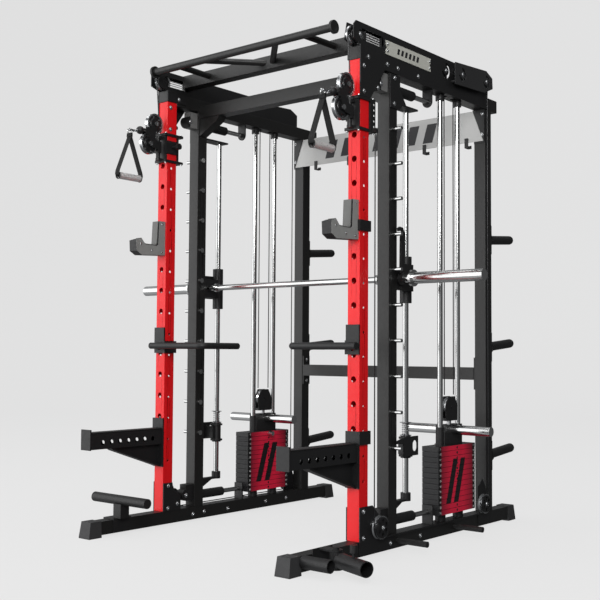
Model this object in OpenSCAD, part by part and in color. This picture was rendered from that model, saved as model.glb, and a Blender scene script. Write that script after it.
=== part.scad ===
// Cable-and-barbell training rack with a guided bar, two weight stacks and clip-on attachments.
// Millimetres, +Z up, +X to the user's right when facing the rack, +Y towards its back.
// The origin is on the floor, in the middle of the overall footprint.

/* [Frame] */
// Side of the square steel tubes
tube = 60; // [50:1:65]
// Wall of the square steel tubes
wall = 3; // [2:0.5:4]
// Half the distance between the two side frames, tube centre to tube centre
side_x = 573; // [560:1:590]
// Depth of the middle uprights' front face behind the front uprights' front face
middle_y = 208; // [200:1:215]
// Depth of the rear uprights' front face behind the front uprights' front face
rear_y = 1031; // [1020:1:1040]
// Height of the underside of the base rails
rail_z = 10; // [8:1:14]
// Height of the underside of the top side beams
beam_z = 2018; // [2000:2:2030]
// Height of the top edge of the side plates
plate_top_z = 2178; // [2170:1:2185]
// Distance between adjustment holes in the front uprights
hole_pitch = 100; // [90:5:100]
// Diameter of the adjustment holes in the front uprights
hole_d = 25; // [20:1:28]
// Height of the highest open adjustment hole
top_hole_z = 1718; // [1700:2:1730]
// Number of adjustment holes in each front upright
hole_count = 15; // [12:1:15]

/* [Guided bar] */
// Diameter of the guided bar's shaft
bar_d = 28; // [26:1:30]
// Diameter of the plate sleeves on the bar's ends
sleeve_d = 50; // [48:1:50]
// Overall length of the guided bar
bar_length = 2014; // [1980:2:2040]
// Height of the bar at rest
bar_z = 1143; // [1000:1:1143]
// Diameter of the chrome guide rods
rod_d = 25; // [22:1:26]
// Distance between the hook pegs
peg_pitch = 150; // [140:5:150]

/* [Weight stacks] */
// Number of plates in each stack under the head plate
plate_count = 12; // [8:1:12]
// Thickness of one stack plate
plate_t = 22.5; // [20:0.5:22.5]
// Diameter of the steel cable
cable_d = 5; // [4:0.5:5]

/* [Attachments] */
// Height of the safety arms' locating pins
arm_pin_z = 418; // [418:100:418]
// Height of the dip bars' locating pins
dip_pin_z = 918; // [918:100:918]
// Height of the bar hooks' locating pins
hook_pin_z = 1418; // [1418:100:1418]
// Length of a storage peg outside its plate
storage_l = 250; // [200:5:260]

/* [Hidden] */
$fn = 48;
half = tube / 2;
in_x = side_x - half;
out_x = side_x + half;
sheet = 5;
gap = 0.3;
run = 0.05;
rail_top = rail_z + tube;
middle_back = middle_y + tube;
rear_back = rear_y + tube;
front_end = -437;
rail_end = 1314;
back_end = rear_back + 8 + storage_l;
mid_y = (front_end + back_end) / 2;
// Guided bar and its rods
bar_y = 294;
rod_x = 570;
rod_y = 385;
rod_r = rod_d / 2;
peg_y = middle_y + half;
peg_top_z = 1778;
peg_count = 10;
peg_r = 8;
peg_tip = 648;
// Weight stacks
stack_y = 740;
stack_w = 86;
stack_l = 322;
stack_z0 = 104;
plate_pitch = plate_t + 1;
stack_top = stack_z0 + plate_count * plate_pitch;
head_t = 22;
stack_rod_y = [stack_y - 77, stack_y + 77];
horn_z = 476;
// Pulleys: [radius, y, z]
groove = 7;
cable_r = cable_d / 2;
turn_r = cable_r + 0.1;
pulley_t = 18;
top_x = side_x;
side_pulley_x = 618.5;
axle_r = 6;
front_pulley = [42, -8, 2127];
middle_pulley = [42, stack_y - 77.8, 2125];
stack_pulley = [36, 766, 2124];
rear_pulley = [38, 992, 2138];
low_front = [48, 128, 115];
low_rear = [46, rear_pulley[1] - 8, 115];
head_pulley = [44, stack_y, 580];
// Swivelling cable arms
swivel_y = -32;
upper_pulley = [50, -58, 1912];
// The cable leaves the upper pulley at this angle and meets the swivel axis at feed_z
leave = 25;
leave_at = [upper_pulley[1] + groove_r(upper_pulley) * cos(leave),
  upper_pulley[2] + groove_r(upper_pulley) * sin(leave)];
feed_z = leave_at[1] + (leave_at[0] - swivel_y) / tan(leave);
lower_pulley = [50, -93, 1812];
trolley_z = [1740, 1868];
lug_top = trolley_z[0] + 12;
ring_at = [-210, 1852];
ring_r = 13;
link_z = ring_at[1] + 7;
ball_at = [-146, 1868];
// Landmine pivot
mine = [672, -240, 50];
mine_r = 29.5;
mine_turn = -20;
mine_reach = 205;

// A box from its low corner to its high corner
module box(low, high) {
  translate(low) cube(high - low);
}
// Round bar between two points
module rod(a, b, r) {
  v = b - a;
  turn = atan2(v[1], v[0]);
  tilt = acos(v[2] / norm(v));
  translate(a) rotate([0, tilt, turn]) cylinder(h = norm(v), r = r);
}
module round_x(x0, x1, y, z, r) {
  translate([x0, y, z]) rotate([0, 90, 0]) cylinder(h = x1 - x0, r = r);
}
module round_y(y0, y1, x, z, r) {
  translate([x, y0, z]) rotate([-90, 0, 0]) cylinder(h = y1 - y0, r = r);
}
module round_z(z0, z1, x, y, r) {
  translate([x, y, z0]) cylinder(h = z1 - z0, r = r);
}
// Square tubes along each axis, hollow from end to end
module tube_z(x, y0, z0, z1) {
  difference() {
    box([x - half, y0, z0], [x + half, y0 + tube, z1]);
    box([x - half + wall, y0 + wall, z0 - 1], [x + half - wall, y0 + tube - wall, z1 + 1]);
  }
}
module tube_y(x, z0, y0, y1) {
  difference() {
    box([x - half, y0, z0], [x + half, y1, z0 + tube]);
    box([x - half + wall, y0 - 1, z0 + wall], [x + half - wall, y1 + 1, z0 + tube - wall]);
  }
}
module tube_x(y0, z0, reach) {
  difference() {
    box([-reach, y0, z0], [reach, y0 + tube, z0 + tube]);
    box([-reach - 1, y0 + wall, z0 + wall], [reach + 1, y0 + tube - wall, z0 + tube - wall]);
  }
}
// A plate in a side plane, drawn as [y, z] points
module plate_x(x0, t, points) {
  translate([x0, 0, 0]) rotate([90, 0, 90]) linear_extrude(t) polygon(points);
}
// A plate facing the front, drawn as [x, z] points
module plate_y(y0, t, points) {
  translate([0, y0 + t, 0]) rotate([90, 0, 0]) linear_extrude(t) polygon(points);
}
module both() {
  children();
  mirror([1, 0, 0]) children();
}
module left() {
  mirror([1, 0, 0]) children();
}
// Every sub-part is drawn from the front uprights' front face, then moved to the origin
module placed(c) {
  color(c) translate([0, -mid_y, 0]) children();
}
// Domed bolt head standing on a face that looks along +X
module head_x(x, y, z, r = 8) {
  round_x(x, x + 1.5, y, z, r * 1.3);
  round_x(x + 1.5, x + 6, y, z, r);
}
module head_in(x, y, z, r = 8) {
  round_x(x - 1.5, x, y, z, r * 1.3);
  round_x(x - 6, x - 1.5, y, z, r);
}
module head_y(x, y, z, r = 8) {
  round_y(y - 1.5, y, x, z, r * 1.3);
  round_y(y - 6, y - 1.5, x, z, r);
}
function hole_z(k) = top_hole_z + hole_pitch - k * hole_pitch;
function groove_r(p) = p[0] - groove + turn_r + gap;

module base_rails() placed("#1d1d1f") both() {
  tube_y(side_x, rail_z, front_end + 14, rail_end - 14);
}

module foot_pad(y_end, dir) {
  pad_l = 70;
  far = y_end - dir * pad_l;
  difference() {
    union() {
      box([side_x - 36.5, min(y_end, far), 0], [side_x + 36.5, max(y_end, far), 7]);
      hull() {
        box([side_x - 36, min(y_end, far), 7], [side_x + 36, max(y_end, far), 8]);
        box([side_x - 32, min(y_end - dir * 10, far), 72], [side_x + 32, max(y_end - dir * 10, far), 73]);
      }
    }
    box([in_x, min(y_end - dir * 14, far) - (dir > 0 ? 1 : 0), rail_z],
      [out_x, max(y_end - dir * 14, far) + (dir > 0 ? 0 : 1), rail_top]);
  }
}
module foot_pads() placed("#151516") both() {
  foot_pad(front_end, -1);
  foot_pad(rail_end, 1);
}

module front_uprights() placed("#c8141e") both() difference() {
  tube_z(side_x, 0, rail_top, 2030);
  for (k = [0 : hole_count - 1]) {
    round_y(-1, tube + 1, side_x, hole_z(k), hole_d / 2);
  }
  for (k = [1 : hole_count]) {
    round_x(in_x - 1, out_x + 1, 29, hole_z(k) - 10, 5.5);
  }
}
module middle_uprights() placed("#1d1d1f") both() difference() {
  tube_z(side_x, middle_y, rail_top, beam_z);
  for (k = [0 : peg_count - 1]) {
    round_x(in_x - 1, out_x + 1, peg_y, peg_top_z - k * peg_pitch, peg_r);
  }
}
module rear_uprights() placed("#1d1d1f") both() {
  tube_z(side_x, rear_y, rail_top, beam_z);
}
// Beams on top of the side frames, drilled for the cables, with a cap over each front upright
module top_side_beams() placed("#1d1d1f") both() {
  difference() {
    tube_y(side_x, beam_z, tube, 1150);
    for (y = [stack_y - 40, stack_y + 40]) {
      round_z(beam_z - 1, beam_z + tube + 1, side_x, y, 14);
    }
  }
  box([in_x, -3, 2030], [out_x, tube - gap, 2084]);
}

// Window in an outer plate that shows part of a pulley
module pulley_window(x, p, r0, r1) {
  difference() {
    round_x(x - 1, x + 12, p[1], p[2], r1);
    round_x(x - 2, x + 13, p[1], p[2], r0);
    box([x - 2, p[1] - r1 - 1, p[2] - 6], [x + 13, p[1] - 4, p[2] + r1 + 1]);
  }
}
// Slot beside the front pulley, where the cable runs show
module front_slot(x, t) {
  for (y = [front_pulley[1] + 16, 140]) {
    round_x(x, x + t, y, front_pulley[2] + 4, 24);
  }
  box([x, front_pulley[1] + 16, front_pulley[2] - 20], [x + t, 140, front_pulley[2] + 28]);
}
// Long plate outside the top beam, with a lap down the front upright
module outer_plate() difference() {
  plate_x(out_x, sheet, [[-52, 2103], [-52, 2160], [-36, plate_top_z], [745, plate_top_z], [745, beam_z],
    [170, beam_z], [66, 1876], [-4, 1876], [-4, 2088]]);
  front_slot(out_x - 1, sheet + 2);
  pulley_window(out_x, middle_pulley, 22, 36);
}
module rear_plates() {
  plate_x(out_x, sheet, [[745, beam_z], [745, plate_top_z], [990, 2190], [1046, 2164], [1046, beam_z]]);
  difference() {
    plate_x(side_pulley_x + 11, sheet, [[702, 2068], [702, 2170], [990, 2191], [1049, 2166], [1052, 2115],
      [972, 2081]]);
    pulley_window(side_pulley_x + 11, stack_pulley, 19, 32);
    pulley_window(side_pulley_x + 11, rear_pulley, 19, 32);
  }
  for (p = [[715, 2085], [870, 2105], [1041, 2140]]) {
    round_x(out_x + sheet, side_pulley_x + 11, p[0], p[1], 6);
  }
}
module inner_plate() difference() {
  plate_x(558, 4, [[-52, 2103], [-36, plate_top_z], [745, plate_top_z], [745, beam_z + tube],
    [tube, beam_z + tube], [tube, 2088], [-3, 2088]]);
  front_slot(557, 6);
}
// Bracing and axle plates at the foot of the uprights
module foot_plates() {
  plate_x(out_x, sheet, [[0, 15], [0, 207], [88, 207], [126, 170], [126, 70], [232, 70], [232, 15]]);
  plate_x(in_x - sheet, sheet, [[0, rail_top], [0, 203], [57, 203], [62, 179], [111, 135], [112, rail_top]]);
  plate_x(out_x, sheet, [[950, 20], [950, 200], [985, 232], [1010, 200], [1030, 150], [1060, 140],
    [1060, 20]]);
  for (z = [130, 1960]) {
    difference() {
      union() {
        box([side_x - 22, 160, z - 27], [side_x + 22, middle_y, z + 50]);
        round_x(side_x - 22, side_x + 22, 160, z, 27);
      }
      box([side_x - 30, 120, z - 90], [side_x + 30, 210, z - 60]);
    }
  }
}
module axle(x0, x1, p) {
  round_x(x0, x1, p[1], p[2], axle_r);
}
module side_plates() placed("#1b1b1d") both() {
  outer_plate();
  rear_plates();
  inner_plate();
  foot_plates();
  box([562, tube, plate_top_z - 5], [out_x, 745, plate_top_z]);
  box([in_x - 4, -3, 2032], [in_x, 118, beam_z + tube]);
  for (y = [36, 150]) {
    box([582, y, 2110], [out_x, y + 4, 2152]);
  }
  axle(562, out_x + sheet, front_pulley);
  axle(562, out_x + sheet, middle_pulley);
  axle(out_x + sheet, side_pulley_x + 11 + sheet, stack_pulley);
  axle(out_x + sheet, side_pulley_x + 11 + sheet, rear_pulley);
  for (p = [low_front, low_rear]) {
    axle(out_x + sheet, side_pulley_x + 13, p);
    difference() {
      round_x(side_pulley_x + 10, side_pulley_x + 13, p[1], p[2], p[0] - 6);
      for (a = [30 : 60 : 330]) {
        round_x(side_pulley_x + 9, side_pulley_x + 14, p[1] + 26 * cos(a), p[2] + 26 * sin(a), 8);
      }
    }
  }
}

module cross_gusset() {
  plate_y(middle_y + 5, 50, [[in_x, 1984], [406, 1984], [420, 1960], [in_x, 1895]]);
}
module crossmembers() placed("#1d1d1f") {
  tube_x(middle_y, 1984, in_x);
  tube_x(112, 2118, 558);
  tube_x(rear_y, 697, in_x - 8);
  both() {
    cross_gusset();
    box([in_x - 8, rear_y + 3, 650], [in_x, rear_back - 3, 805]);
  }
}

grip_r = 14;
pull_y = -91;
pull_z = 2150;
module pull_up_bar() placed("#2a2a2c") {
  round_x(-530, 530, pull_y, pull_z, 17);
  both() {
    round_x(530, 541, pull_y, pull_z, 28);
    difference() {
      union() {
        rod([372, pull_y, pull_z], [381, 120, pull_z], grip_r);
        rod([222, pull_y, pull_z], [21.4, 120, pull_z], grip_r);
      }
      box([1, 112, pull_z - 20], [420, 140, pull_z + 20]);
    }
  }
}

// Blank header panel and blank badges, no lettering
module sign_panels() placed("#c9cacc") {
  plate_y(rear_y - 6, 4, [[-out_x + 3, 1862], [out_x - 3, 1862], [out_x - 3, 1880], [556, 2014],
    [-556, 2014], [-out_x + 3, 1880]]);
  both() plate_x(out_x + sheet, 3, [[174, 2087], [174, 2107], [184, 2117], [174, 2127], [174, 2147],
    [524, 2147], [524, 2127], [514, 2117], [524, 2107], [524, 2087]]);
}

module header_brackets() placed("#1b1b1d") {
  both() {
    plate_y(rear_y - 10, 4, [[538, beam_z], [out_x, beam_z], [out_x, 1852], [594, 1872]]);
    plate_y(rear_y - 2, 2, [[in_x, 1852], [in_x, beam_z], [out_x, beam_z], [out_x, 1852]]);
  }
  for (x = [-447, -220, 20, 260, 504]) {
    box([x - 10, rear_y - 10, 1836], [x + 10, rear_y - 6, 1884]);
    box([x - 10, rear_y - 6, 1836], [x + 10, rear_y + 26, 1840]);
    box([x - 10, rear_y + 22, 1840], [x + 10, rear_y + 26, 1852]);
  }
}

module guide_rods() placed("#d4d6d9") both() {
  round_z(190, 1897, rod_x, rod_y, rod_r);
  for (y = stack_rod_y) {
    round_z(rail_top, beam_z, side_x, y, rod_r);
  }
}

module rod_brackets() placed("#1b1b1d") both() {
  plate_x(out_x, sheet, [[middle_y + 4, 1868], [middle_y + 4, beam_z - 4], [285, beam_z - 4], [285, 1955],
    [332, 1897], [425, 1897], [425, 1889], [300, 1889], [280, 1868]]);
  difference() {
    box([545, middle_back, 1889], [out_x, 425, 1897]);
    round_z(1880, 1900, rod_x, rod_y, rod_r);
  }
  difference() {
    union() {
      round_z(190, 225, rod_x, rod_y, 22);
      box([556, middle_back, 190], [584, rod_y, 200]);
      plate_x(560, 20, [[middle_back, 150], [middle_back, 195], [352, 195], [345, 190]]);
    }
    round_z(189, 230, rod_x, rod_y, rod_r);
  }
  for (y = stack_rod_y) {
    difference() {
      round_z(beam_z - 28, beam_z, side_x, y, 20);
      round_z(beam_z - 30, beam_z + 1, side_x, y, rod_r);
    }
  }
}

module hook_pegs() placed("#d4d6d9") both() for (k = [0 : peg_count - 1]) {
  round_x(in_x - 7, in_x, peg_y, peg_top_z - k * peg_pitch, 12);
  round_x(in_x, peg_tip, peg_y, peg_top_z - k * peg_pitch, peg_r);
}

storage_tilt = 5;
storage_r = 22;
module storage_peg(z) {
  tip_y = back_end - storage_r;
  root_y = rear_back + 8;
  difference() {
    union() {
      rod([side_x, root_y - 10, z - 10 * tan(storage_tilt)],
        [side_x, tip_y, z + (tip_y - root_y) * tan(storage_tilt)], storage_r);
      translate([side_x, tip_y, z + (tip_y - root_y) * tan(storage_tilt)]) sphere(r = storage_r - 0.2);
      rod([side_x, root_y - 10, z - 10 * tan(storage_tilt)],
        [side_x, root_y + 6 * cos(storage_tilt), z + 6 * sin(storage_tilt)], 34);
    }
    box([side_x - 40, root_y - 40, z - 50], [side_x + 40, root_y, z + 50]);
  }
  box([in_x + 3, rear_back, z - 70], [out_x - 3, root_y, z + 70]);
}
module storage_pegs() placed("#161617") both() {
  for (z = [332, 857, 1382]) {
    storage_peg(z);
  }
  for (y = [277, 735]) {
    round_x(out_x, 750, y, 40, 12.5);
  }
}

// Padded leg roller on a saddle over the left base rail
module foot_roller() placed("#1b1b1d") left() {
  saddle = [[in_x - 6, rail_z + 2], [in_x - 6, 76], [out_x + 6, 76], [out_x + 6, rail_z + 2],
    [out_x, rail_z + 2], [out_x, rail_top], [in_x, rail_top], [in_x, rail_z + 2]];
  plate_y(-300, 100, saddle);
  box([508, -286, 76], [558, -236, 140]);
  round_x(354, 714, -264, 155, 22);
}

module landmine_bracket() placed("#1b1b1d") {
  box([out_x, -300, 14], [out_x + 6, -180, 88]);
  for (z = [[12, 19.5], [80.5, 88]]) {
    box([out_x + 6, mine[1] - 25, z[0]], [mine[0], mine[1] + 25, z[1]]);
    round_z(z[0], z[1], mine[0], mine[1], 25);
  }
  round_z(19.5, 80.5, mine[0], mine[1], 8);
  round_z(88, 96, mine[0], mine[1], 13);
  difference() {
    round_x(out_x, 739, -357, 50, 25);
    round_x(out_x + 4, 740, -357, 50, 22);
    box([out_x - 1, front_end, 0], [out_x + 7, front_end + 70 + gap, 100]);
  }
}
module landmine_tube() placed("#1b1b1d") translate([mine[0], mine[1], 0]) rotate([0, 0, mine_turn])
  difference() {
    union() {
      round_z(20, 80, 0, 0, 26);
      round_x(30, mine_reach, 0, mine[2], mine_r);
      box([0, -20, 24], [40, 20, 76]);
      round_z(74, 95, 120, 0, 5);
      round_z(95, 124, 120, 0, 15);
    }
    round_x(50, mine_reach + 1, 0, mine[2], 25.5);
    round_z(19, 81, 0, 0, 8 + run);
  }

module stack_block(z, t) {
  low = [side_x - stack_w / 2, stack_y - stack_l / 2, z];
  box(low, low + [stack_w, stack_l, t]);
}
module weight_plate(z) difference() {
  stack_block(z, plate_t);
  for (y = stack_rod_y) {
    round_z(z - 1, z + plate_t + 1, side_x, y, rod_r + 1);
  }
  round_z(z - 1, z + plate_t + 1, side_x, stack_y, 12);
  round_x(side_x - stack_w, side_x, stack_y, z + plate_t / 2, 4.5);
}
module weight_plates() placed("#26262a") both() for (k = [0 : plate_count - 1]) {
  weight_plate(stack_z0 + k * plate_pitch);
}

// Rubber bumpers under the stacks, and the plates that hold the far ends of the tension shafts
module stack_supports() placed("#1b1b1d") both() {
  for (y = stack_rod_y) {
    difference() {
      round_z(rail_top, stack_z0, side_x, y, 24);
      round_z(rail_top - 1, stack_z0 + 1, side_x, y, rod_r);
    }
  }
  difference() {
    union() {
      box([548, 553, 1962], [598, 561, beam_z]);
      round_y(553, 561, side_x, 1962, 25);
    }
    round_y(550, 565, side_x, 1962, 11);
  }
  difference() {
    box([546, 553, rail_top], [600, 561, 152]);
    round_y(550, 565, side_x, 122, 11);
  }
}
// Cable tension shafts: black sleeve, chrome shaft
module tension_shafts() placed("#2a2a2c") both() for (z = [122, 1962]) {
  difference() {
    round_y(middle_back, 428, side_x, z, 22);
    round_y(middle_back - 1, 429, side_x, z, 11);
  }
  round_y(middle_back, 572, side_x, z, 11);
}

module frame_bolts() placed("#b9bbbe") {
  both() {
    for (p = [[51, 2046], [19, 2003], [19, 1897], [120, 1931], [188, 2046], [267, 2046], [427, 2046],
        [24, 190], [24, 84], [215, 38]]) {
      head_x(out_x + sheet, p[0], p[1]);
    }
    for (p = [front_pulley, middle_pulley]) {
      head_x(out_x + sheet, p[1], p[2]);
    }
    for (p = [stack_pulley, rear_pulley]) {
      head_x(side_pulley_x + 11 + sheet, p[1], p[2]);
    }
    for (p = [low_front, low_rear]) {
      head_x(side_pulley_x + 13, p[1], p[2]);
    }
    for (z = [1897, 2003]) {
      head_in(in_x, 19, z);
    }
    head_in(in_x - 4, 70, 2050);
    for (p = [[184, 2102], [184, 2132], [514, 2102], [514, 2132]]) {
      head_x(out_x + sheet + 3, p[0], p[1], 5);
    }
    for (p = [[243, 1999], [240, 1888]]) {
      head_x(out_x + sheet, p[0], p[1]);
    }
    for (p = [[30, 190], [30, 84], [90, 100]]) {
      head_in(in_x - sheet, p[0], p[1]);
    }
    for (p = [[199, 36], [277, 40], [444, 36], [735, 40], [900, 40]]) {
      head_in(in_x, p[0], p[1]);
    }
    head_x(out_x, 451, 36);
    for (z = [130, 1960]) {
      head_x(side_x + 22, 160, z, 9);
      head_in(side_x - 22, 160, z, 9);
    }
    for (z = [670, 785]) {
      head_in(in_x - 8, rear_y + half, z, 7);
    }
    for (z = [1893, 1995]) {
      head_y(593, rear_y - 10, z, 6);
    }
    for (z = [332, 857, 1382]) {
      for (s = [-1, 1]) {
        round_y(rear_back + 8, rear_back + 14, side_x, z + s * 55, 8);
      }
    }
  }
}

// Steel cables: straight runs and the turns round each pulley
module turn_x(x, p, from, sweep) {
  translate([x, p[1], p[2]]) rotate([90, 0, 90]) rotate([0, 0, from])
    rotate_extrude(angle = sweep) translate([groove_r(p), 0]) circle(r = turn_r);
}
// Point on a cable's turn round pulley p, at angle a from the +Y direction
function on_turn(x, p, a) = [x, p[1] + groove_r(p) * cos(a), p[2] + groove_r(p) * sin(a)];
// Angle at which a cable over the top of pulleys p and q touches both, and the same underneath
function lean_of(p, q) = 90 + asin((groove_r(q) - groove_r(p)) / norm([q[1] - p[1], q[2] - p[2]]));
function over(p, q) = atan2(q[2] - p[2], q[1] - p[1]) + lean_of(p, q);
function under(p, q) = atan2(q[2] - p[2], q[1] - p[1]) - lean_of(p, q);
// Straight run of cable that laps a little into the turns at its ends
module cable(a, b) {
  lap = 1.5 * (b - a) / norm(b - a);
  rod(a - lap, b + lap, cable_r);
}
module top_cable(f, m, h) {
  turn = over(f, m);
  above_head = h[2] + 56;
  cable([top_x, swivel_y, feed_z + 5], on_turn(top_x, f, 180));
  turn_x(top_x, f, turn, 180 - turn);
  cable(on_turn(top_x, f, turn), on_turn(top_x, m, turn));
  turn_x(top_x, m, 0, turn);
  cable([side_x, stack_y - groove_r(h), above_head], on_turn(top_x, m, 0));
  cable([side_x, stack_y + groove_r(h), above_head], [side_x, stack_y + groove_r(h), beam_z + tube + 12]);
}
module side_cable(s, r, low, back) {
  turn = over(s, r);
  below = under(low, back);
  x = side_pulley_x;
  cable(on_turn(x, s, 180) - [0, 0, 30], on_turn(x, s, 180));
  turn_x(x, s, turn, 180 - turn);
  cable(on_turn(x, s, turn), on_turn(x, r, turn));
  turn_x(x, r, 0, turn);
  cable(on_turn(x, back, 0), on_turn(x, r, 0));
  turn_x(x, back, below, -below);
  cable(on_turn(x, low, below), on_turn(x, back, below));
  turn_x(x, low, 180, 180 + below);
  cable(on_turn(x, low, 180), [x, low[1] - groove_r(low), lug_top]);
}
// Extra runs behind the front slot, held by a clamp at each end
slot_x = 590;
slot_z = [2118, 2128, 2138, 2148];
module cables() placed("#101011") both() {
  top_cable(front_pulley, middle_pulley, head_pulley);
  for (z = slot_z) {
    round_y(40, 150, slot_x, z, cable_r);
  }
  side_cable(stack_pulley, rear_pulley, low_front, low_rear);
}

// Bar carriages: one long sleeve on each rod, a bearing block and an outer plate
module carriages() placed("#1b1b1d") both() difference() {
  union() {
    round_z(bar_z - 100, bar_z + 102, rod_x, rod_y, 26);
    box([551, bar_y - 20, bar_z - 45], [595, rod_y, bar_z + 45]);
    plate_x(595, 8, [[302, bar_z - 50], [302, bar_z + 66], [396, bar_z + 66], [396, bar_z - 50]]);
  }
  round_z(bar_z - 101, bar_z + 103, rod_x, rod_y, rod_r + run);
  round_x(540, 610, bar_y, bar_z, bar_d / 2 + run);
}
module smith_bar() placed("#d4d6d9") {
  round_x(-bar_length / 2 + 8, bar_length / 2 - 8, bar_y, bar_z, bar_d / 2);
  both() {
    round_x(480, 494, bar_y, bar_z, 21);
    round_x(630, 660, bar_y, bar_z, 20);
  }
}
hook_reach = 202.2;
hook_back = 8.5;
module bar_hook() translate([0, bar_y, bar_z]) rotate([-hook_back, 0, 0]) difference() {
  union() {
    plate_x(612, 8, concat([[10, 0], [-22, 0], [-46, 172]],
      [for (a = [-11.5 : -2 : -19.5]) [(hook_reach + 0.5) * sin(a), (hook_reach + 0.5) * cos(a)]],
      [[-72, 204], [-58, 214], [-34, 214], [-18, 190]]));
    round_x(606, 630, 0, 0, 27);
  }
  round_x(600, 640, 0, 0, bar_d / 2);
}
module bar_hooks() placed("#161617") both() bar_hook();
module bar_sleeve() difference() {
  union() {
    round_x(674, bar_length / 2, bar_y, bar_z, sleeve_d / 2);
    round_x(662, 674, bar_y, bar_z, 36);
  }
  round_x(661, bar_length / 2 - 7, bar_y, bar_z, bar_d / 2 + run);
}
module right_bar_sleeve() placed("#d4d6d9") bar_sleeve();
module left_bar_sleeve() placed("#d4d6d9") left() bar_sleeve();

stop_z = 422;
module safety_stop() difference() {
  union() {
    round_z(stop_z - 48, stop_z + 48, rod_x, rod_y, 22);
    round_z(stop_z - 42, stop_z - 34, rod_x, rod_y, 30);
    round_z(stop_z + 34, stop_z + 42, rod_x, rod_y, 30);
    box([rod_x - 12, 345, stop_z - 30], [612, 366, stop_z + 30]);
    plate_x(612, 6, [[250, stop_z + 22], [250, stop_z + 34], [306, stop_z + 48], [411, stop_z + 48],
      [411, stop_z - 34], [306, stop_z - 34], [300, stop_z + 18]]);
  }
  round_z(stop_z - 60, stop_z + 60, rod_x, rod_y, rod_r + run);
  for (dz = [1, 13]) {
    round_x(600, 620, 386, stop_z + dz, 18);
  }
  box([600, 368, stop_z + 1], [620, 404, stop_z + 13]);
}
module right_safety_stop() placed("#161617") safety_stop();
module left_safety_stop() placed("#161617") left() safety_stop();
// Spring envelope above each stop
module stop_spring() difference() {
  round_z(stop_z + 48, stop_z + 105, rod_x, rod_y, rod_r + 6);
  round_z(stop_z + 47, stop_z + 106, rod_x, rod_y, rod_r + 1);
}
module right_stop_spring() placed("#c4c6c9") stop_spring();
module left_stop_spring() placed("#c4c6c9") left() stop_spring();

// Attachment pin through the front upright's adjustment hole
module pin(z) {
  round_y(-8, tube + 14, side_x, z, hole_d / 2 - 0.5);
}
module j_hook() {
  z = hook_pin_z;
  difference() {
    union() {
      plate_x(side_x - 24, 48, [[-1, z + 28], [-38, z + 28], [-44, z - 84], [-56, z - 92], [-124, z - 91],
        [-150, z - 64], [-181, z - 74], [-178, z - 124], [-146, z - 141], [-1, z - 133]]);
      box([side_x - 24, -8, z - 96], [out_x + 8, -1, z - 52]);
      box([out_x + 1, -8, z - 96], [out_x + 8, tube + 8, z - 52]);
      box([out_x - 16, tube + 1, z - 96], [out_x + 8, tube + 8, z - 52]);
    }
    box([side_x - 14, -40, z - 60], [side_x + 14, -8, z - 20]);
  }
  pin(z);
}
module right_j_hook() placed("#2c2c2f") j_hook();
module left_j_hook() placed("#2c2c2f") left() j_hook();

dip_r = 15;
dip_z = 853;
module dip_bar() {
  z = dip_pin_z;
  difference() {
    box([side_x - 33, -9, z - 99], [side_x + 33, -1, z + 22]);
    round_y(-12, 4, side_x, z - 80, 6);
  }
  box([in_x - 8, -9, z - 99], [in_x - 1, tube + 8, z - 42]);
  box([in_x - 8, tube + 1, z - 99], [in_x + 16, tube + 8, z - 42]);
  round_x(290, out_x + 5, -30, dip_z, dip_r);
  translate([290, 0, dip_z]) rotate([0, 0, 180]) rotate_extrude(angle = 90) translate([30, 0])
    circle(r = dip_r);
  round_y(0, 205, 260, dip_z, dip_r);
  box([side_x - 28, -30, dip_z - 12], [side_x + 28, -9, dip_z + 12]);
  pin(z);
}
module right_dip_bar() placed("#2a2a2c") dip_bar();
module left_dip_bar() placed("#2a2a2c") left() dip_bar();

module safety_arm() {
  z = arm_pin_z;
  box([side_x - 33, -9, z - 136], [side_x + 33, -1, z + 92]);
  box([out_x + 1, -9, z + 38], [out_x + 8, tube + 8, z + 92]);
  box([out_x - 16, tube + 1, z + 38], [out_x + 8, tube + 8, z + 92]);
  difference() {
    box([side_x - 27, front_end + 7, z - 29], [side_x + 27, -9, z + 40]);
    box([side_x - 24, front_end + 6, z - 26], [side_x + 24, -12, z + 32]);
    for (k = [0 : 6]) {
      round_x(side_x - 28, side_x + 28, -64 - k * 49.5, z, 11);
    }
  }
  box([side_x - 32, front_end, z - 31], [side_x + 32, front_end + 7, z + 60]);
  plate_x(side_x - 3, 6, [[-9, z - 29], [-300, z - 29], [-290, z - 38], [-9, z - 134]]);
  plate_x(side_x - 20, 40, [[-300, z - 29], [-308, z - 29], [-292, z - 40], [-9, z - 136], [-9, z - 128]]);
  pin(z);
}
module right_safety_arm() placed("#222224") safety_arm();
module left_safety_arm() placed("#222224") left() safety_arm();

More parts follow.
